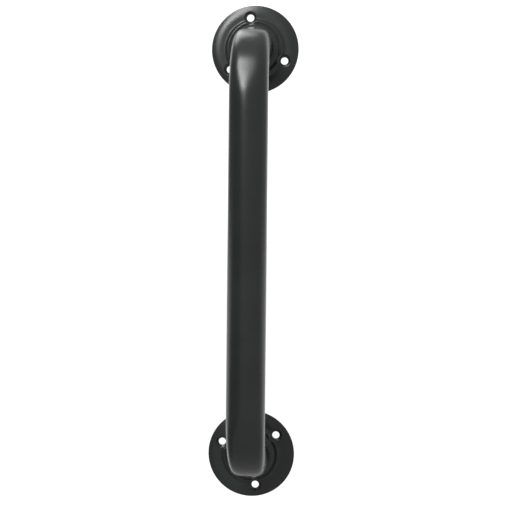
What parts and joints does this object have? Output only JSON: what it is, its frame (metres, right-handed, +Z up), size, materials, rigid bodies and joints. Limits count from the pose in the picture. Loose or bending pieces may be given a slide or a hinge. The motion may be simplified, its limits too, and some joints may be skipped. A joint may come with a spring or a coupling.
{
  "type": "grab bar",
  "caption": "Straight wall-mounted grab bar: a round steel tube bent square at both ends and welded into two pressed round flanges with dished screw holes",
  "frame": {"origin": "centre of the lower flange's screw circle, on the plane of the wall", "axes": "+Z runs up the bar to the upper flange, +Y points into the wall, so the bar stands out along -Y, and +X is to the right of a person facing the wall"},
  "size_m": [0.077, 0.092, 0.437],
  "materials": {
    "tube_coat": "satin black powder coat",
    "flange_coat": "satin black powder coat",
    "weld_coat": "satin black powder coat over weld metal"
  },
  "bodies": {
    "root": {"grab_tube": "tube_coat", "lower_flange": "flange_coat", "upper_flange": "flange_coat", "lower_front_weld": "weld_coat", "upper_front_weld": "weld_coat", "lower_back_weld": "weld_coat", "upper_back_weld": "weld_coat"}
  },
  "joints": []
}
